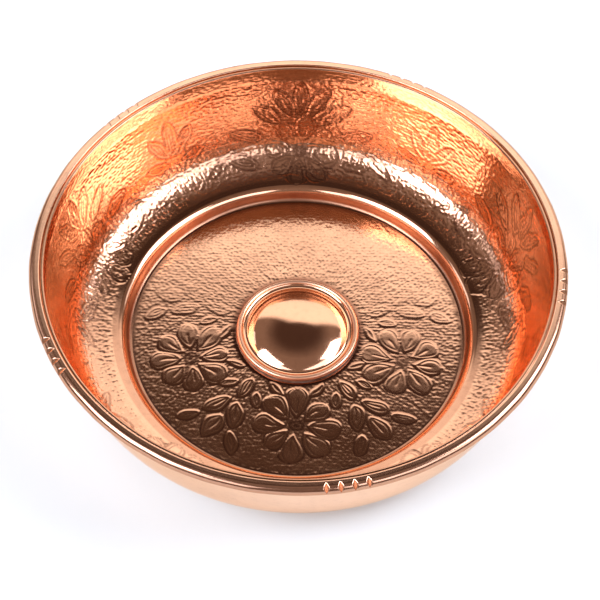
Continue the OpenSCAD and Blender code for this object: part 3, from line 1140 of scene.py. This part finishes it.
def floor_material(studio):
    """Pale matt floor. To the camera and in reflections a glow lifts it to white, and it keeps the shadow.
    Far from the bowl the camera sees it fade into the white behind it."""
    material, tree, surface = new_material("pale_floor")
    place = tree.nodes.new("ShaderNodeTexCoord").outputs["Object"]
    clouds = add_range(tree, add_noise(tree, place, 3, 2), 0.3, 0.7, 0.0, 0.02)
    pale = add_blend(tree, clouds, with_alpha(studio.floor_colour), with_alpha(studio.floor_mottle))
    matt = add_node(tree, "ShaderNodeBsdfDiffuse", Color=pale)
    seen = tree.nodes.new("ShaderNodeLightPath").outputs
    shown = add_math(tree, "MAXIMUM", seen["Is Camera Ray"], seen["Is Glossy Ray"])
    shown = add_math(tree, "MAXIMUM", shown, seen["Is Transmission Ray"])
    reach = tree.nodes.new("ShaderNodeVectorMath")
    reach.operation = "LENGTH"
    tree.links.new(place, reach.inputs[0])
    far = add_range(tree, reach.outputs["Value"], studio.fade_start, studio.fade_end, 0.0, 1.0, True)
    level = add_sum(tree, seen["Is Camera Ray"], far, shown, studio.floor_glow)
    glow = add_node(tree, "ShaderNodeEmission", Strength=level)
    both = tree.nodes.new("ShaderNodeAddShader")
    tree.links.new(matt.outputs[0], both.inputs[0])
    tree.links.new(glow.outputs[0], both.inputs[1])
    tree.links.new(both.outputs[0], surface)
    return material


def add_floor(studio):
    """A large flat disc: rings whose radius grows by the square, round the point under the bowl."""
    rings = 10
    columns = 96
    radius = studio.floor_radius * np.linspace(1 / rings, 1, rings)[:, None] ** 2
    edges = revolved(radius, -FLOOR_DROP, bearings(columns)).reshape(-1, 3)
    points = np.concatenate([edges, [[0, 0, -FLOOR_DROP]]])
    quads = ring_faces(rings, columns)[: (rings - 1) * columns]
    fan = fan_faces(rings * columns, 0, columns)
    mesh = bpy.data.meshes.new("floor")
    mesh.from_pydata(points.tolist(), [], quads.tolist() + fan.tolist())
    mesh.materials.append(floor_material(studio))
    floor = bpy.data.objects.new("floor", mesh)
    bpy.context.scene.collection.objects.link(floor)


def add_world(studio):
    """Light by direction: a dim room, a dark patch of ceiling and, below that, a white backdrop behind the
    bowl. The backdrop ends at its top edge and narrows above its shoulder. Each edge is a smooth step of an
    angle's sine or cosine. The camera itself sees plain white past the floor."""
    world = bpy.data.worlds.new("studio")
    world.use_nodes = True
    tree = world.node_tree
    tree.nodes.clear()
    direction = tree.nodes.new("ShaderNodeTexCoord").outputs["Generated"]
    side, back, rise = add_node(tree, "ShaderNodeSeparateXYZ", Vector=direction).outputs
    level = add_math(tree, "SQRT", add_math(tree, "SUBTRACT", 1.0, add_math(tree, "POWER", rise, 2.0)))
    middle = studio.backdrop_bearing
    towards = add_sum(tree, side, math.cos(middle), back, math.sin(middle))
    behind = add_math(tree, "DIVIDE", towards, add_math(tree, "MAXIMUM", level, 0.001))
    past_shoulder = add_math(tree, "SUBTRACT", rise, math.sin(studio.backdrop_shoulder))
    past_shoulder = add_math(tree, "MAXIMUM", past_shoulder, 0.0)
    tapered = add_math(tree, "MULTIPLY_ADD", past_shoulder, -studio.backdrop_taper, behind)
    edge = math.cos(studio.backdrop_half)
    in_width = add_range(tree, tapered, edge - 0.05, edge + 0.04, 0.0, 1.0, True)
    top = math.sin(studio.backdrop_top)
    top_blur = 0.02
    below_top = add_range(tree, rise, top - top_blur, top + top_blur, 1.0, 0.0, True)
    on_backdrop = add_math(tree, "MULTIPLY", below_top, in_width)
    to_shade = add_sum(tree, back, math.cos(studio.shade_height), rise, math.sin(studio.shade_height))
    darkest = math.cos(studio.shade_inner)
    in_shade = add_range(tree, to_shade, math.cos(studio.shade_outer), darkest, 0.0, 1.0, True)
    room = add_blend(tree, in_shade, with_alpha(studio.room), with_alpha(studio.shade))
    bright = with_alpha(studio.backdrop_strength * np.array(studio.backdrop))
    light = add_blend(tree, on_backdrop, room, bright)
    seen = tree.nodes.new("ShaderNodeLightPath").outputs["Is Camera Ray"]
    light = add_blend(tree, seen, light, with_alpha((1, 1, 1)))
    background = add_node(tree, "ShaderNodeBackground", Color=light, Strength=1.0)
    output = tree.nodes.new("ShaderNodeOutputWorld")
    tree.links.new(background.outputs[0], output.inputs["Surface"])
    bpy.context.scene.world = world


def add_softbox(name, studio, target, brightness, bearing, elevation, width, height, lights_floor):
    """A rectangular area lamp at a bearing and a height, turned towards the bowl. One that doesn't light the
    floor is a card that only shows in the metal."""
    lamp = bpy.data.lights.new(name, "AREA")
    lamp.shape = "RECTANGLE"
    lamp.size = width
    lamp.size_y = height
    lamp.energy = brightness * math.pi * width * height
    lamp.color = studio.daylight
    softbox = bpy.data.objects.new(name, lamp)
    away = Vector((
        math.cos(elevation) * math.cos(bearing),
        math.cos(elevation) * math.sin(bearing),
        math.sin(elevation),
    ))
    softbox.location = target + studio.softbox_distance * away
    softbox.rotation_euler = away.to_track_quat("Z", "Y").to_euler()
    softbox.visible_diffuse = lights_floor
    bpy.context.scene.collection.objects.link(softbox)


def add_camera(studio, target):
    """A camera at a distance and a height from the rim's middle, then pitched, turned and leaned."""
    camera = bpy.data.cameras.new("camera")
    camera.lens = studio.camera_lens
    camera.sensor_width = 36
    camera.clip_start = 0.01
    view = bpy.data.objects.new("camera", camera)
    rise = studio.camera_elevation
    place = target + studio.camera_distance * Vector((0, -math.cos(rise), math.sin(rise)))
    turned = Matrix.Rotation(-studio.camera_yaw, 4, "Z")
    pitched = Matrix.Rotation(math.pi / 2 - studio.camera_pitch, 4, "X")
    leaned = Matrix.Rotation(studio.camera_roll, 4, "Z")
    view.matrix_world = Matrix.Translation(place) @ turned @ pitched @ leaned
    bpy.context.scene.collection.objects.link(view)
    bpy.context.scene.camera = view


class BATHBOWL_OT_stage(bpy.types.Operator):
    """Build the pale floor, the lights and the camera"""

    bl_idname = "bath_bowl.stage"
    bl_label = "Studio"

    def execute(self, context):
        """Everything round the bowl that isn't part of it."""
        studio = context.scene.studio_settings
        target = Vector((0, 0, Rim(context.scene.bowl_sizes).centre[1]))
        add_floor(studio)
        add_world(studio)
        left = (studio.left_elevation, studio.left_width, studio.left_height, True)
        right = (studio.right_elevation, studio.right_width, studio.right_height, True)
        low = (studio.low_elevation, studio.low_width, studio.low_height, False)
        fill = (studio.fill_elevation, studio.fill_width, studio.fill_height, False)
        lamps = {
            "left_softbox": (studio.softbox_strength, studio.left_bearing, *left),
            "right_softbox": (studio.softbox_strength, studio.right_bearing, *right),
            "low_left_panel": (studio.low_strength, studio.low_left_bearing, *low),
            "low_right_panel": (studio.low_strength, studio.low_right_bearing, *low),
            "fill_left_panel": (studio.fill_strength, studio.fill_left_bearing, *fill),
            "fill_right_panel": (studio.fill_strength, studio.fill_right_bearing, *fill),
        }
        for name, settings in lamps.items():
            add_softbox(name, studio, target, *settings)
        add_camera(studio, target)
        context.scene.view_settings.view_transform = "Standard"
        return {"FINISHED"}


OPERATORS = (
    BATHBOWL_OT_shell_floor,
    BATHBOWL_OT_shell_cove,
    BATHBOWL_OT_shell_wall,
    BATHBOWL_OT_rim_bead,
    BATHBOWL_OT_boss_cap,
    BATHBOWL_OT_boss_ring,
    BATHBOWL_OT_solder,
    BATHBOWL_OT_stage,
)
SETTINGS = {
    "bowl_sizes": BowlSizes,
    "chasing_sizes": ChasingSizes,
    "copper_finish": CopperFinish,
    "studio_settings": StudioSettings,
}


class BATHBOWL_PT_pieces(bpy.types.Panel):
    """The bowl's pieces and settings, in the sidebar"""

    bl_idname = "BATHBOWL_PT_pieces"
    bl_label = "Copper Bath Bowl"
    bl_space_type = "VIEW_3D"
    bl_region_type = "UI"
    bl_category = "Bath Bowl"

    def draw(self, context):
        """A button for each operator, then every setting."""
        for operator in OPERATORS:
            self.layout.operator(operator.bl_idname)
        for name, group in SETTINGS.items():
            box = self.layout.box()
            for setting in group.__annotations__:
                box.prop(getattr(context.scene, name), setting)


def register():
    """Registers the classes and hangs the settings on the scene."""
    for group in (*SETTINGS.values(), *OPERATORS, BATHBOWL_PT_pieces):
        bpy.utils.register_class(group)
    for name, group in SETTINGS.items():
        setattr(bpy.types.Scene, name, PointerProperty(type=group))


def unregister():
    """Takes the settings off the scene and unregisters the classes."""
    for name in SETTINGS:
        delattr(bpy.types.Scene, name)
    for group in reversed((*SETTINGS.values(), *OPERATORS, BATHBOWL_PT_pieces)):
        bpy.utils.unregister_class(group)


def main():
    """Builds every piece in order."""
    register()
    bpy.ops.bath_bowl.shell_floor()
    bpy.ops.bath_bowl.shell_cove()
    bpy.ops.bath_bowl.shell_wall()
    bpy.ops.bath_bowl.rim_bead()
    bpy.ops.bath_bowl.boss_cap()
    bpy.ops.bath_bowl.boss_ring()
    bpy.ops.bath_bowl.solder()
    bpy.ops.bath_bowl.stage()


if __name__ == "__main__":
    main()
